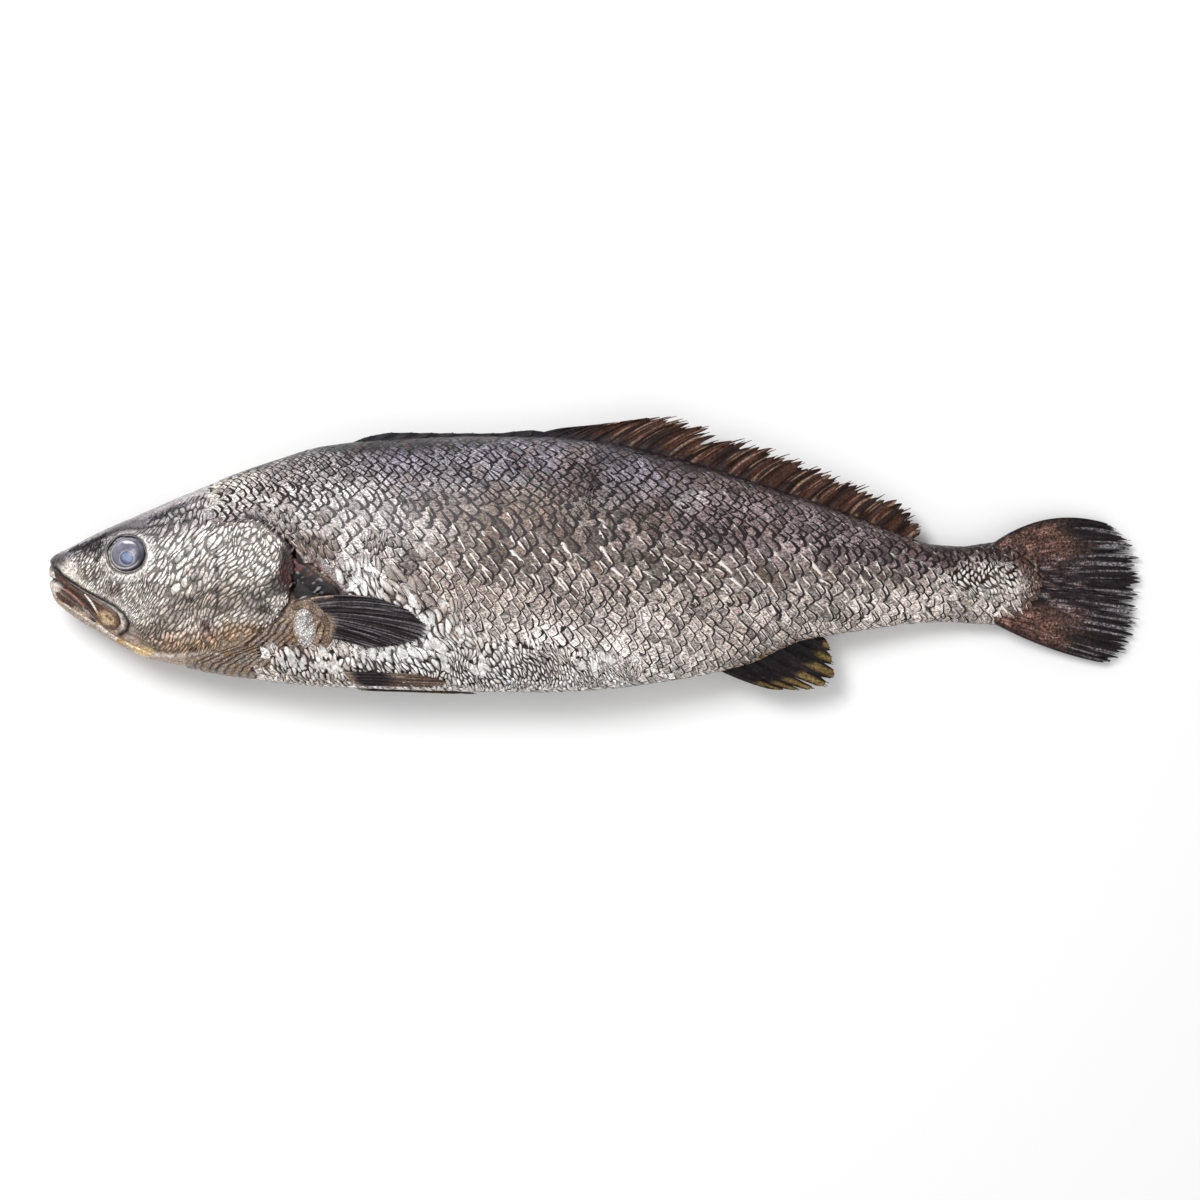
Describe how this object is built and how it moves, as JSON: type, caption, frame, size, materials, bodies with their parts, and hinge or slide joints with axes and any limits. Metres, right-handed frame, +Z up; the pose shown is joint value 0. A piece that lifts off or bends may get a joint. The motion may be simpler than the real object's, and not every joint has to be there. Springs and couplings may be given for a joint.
{
  "type": "whole raw fish",
  "caption": "Whole raw croaker lying on its right side, ungutted, with its head, mouth, gill covers, eyes and all its fins; food to lay on a tray, board, slab or ice.",
  "frame": {"origin": "middle of the fish's bounding box, on the surface that it lies on", "axes": "+X runs from snout to tail, +Y from belly to back, +Z up out of the surface, from the right side that it lies on to the left side that shows"},
  "size_m": [0.6002, 0.1522, 0.0701],
  "materials": {
    "skin": "wet scaly skin: silver-white belly and shoulder, grey-brown flanks, dark blue-grey back; satin with a glossy sheen",
    "fin": "wet fin rays and web: brown back fin, black-brown tail, dark belly fins with golden rays; satin",
    "mouth": "wet pink flesh inside the mouth and behind the gill cover; glossy",
    "eye": "clouded blue-grey eye with a pale pupil and a dark rim; wet gloss"
  },
  "bodies": {
    "root": {"fish_body": "skin", "eye_left": "eye", "eye_right": "eye"}
  },
  "joints": []
}
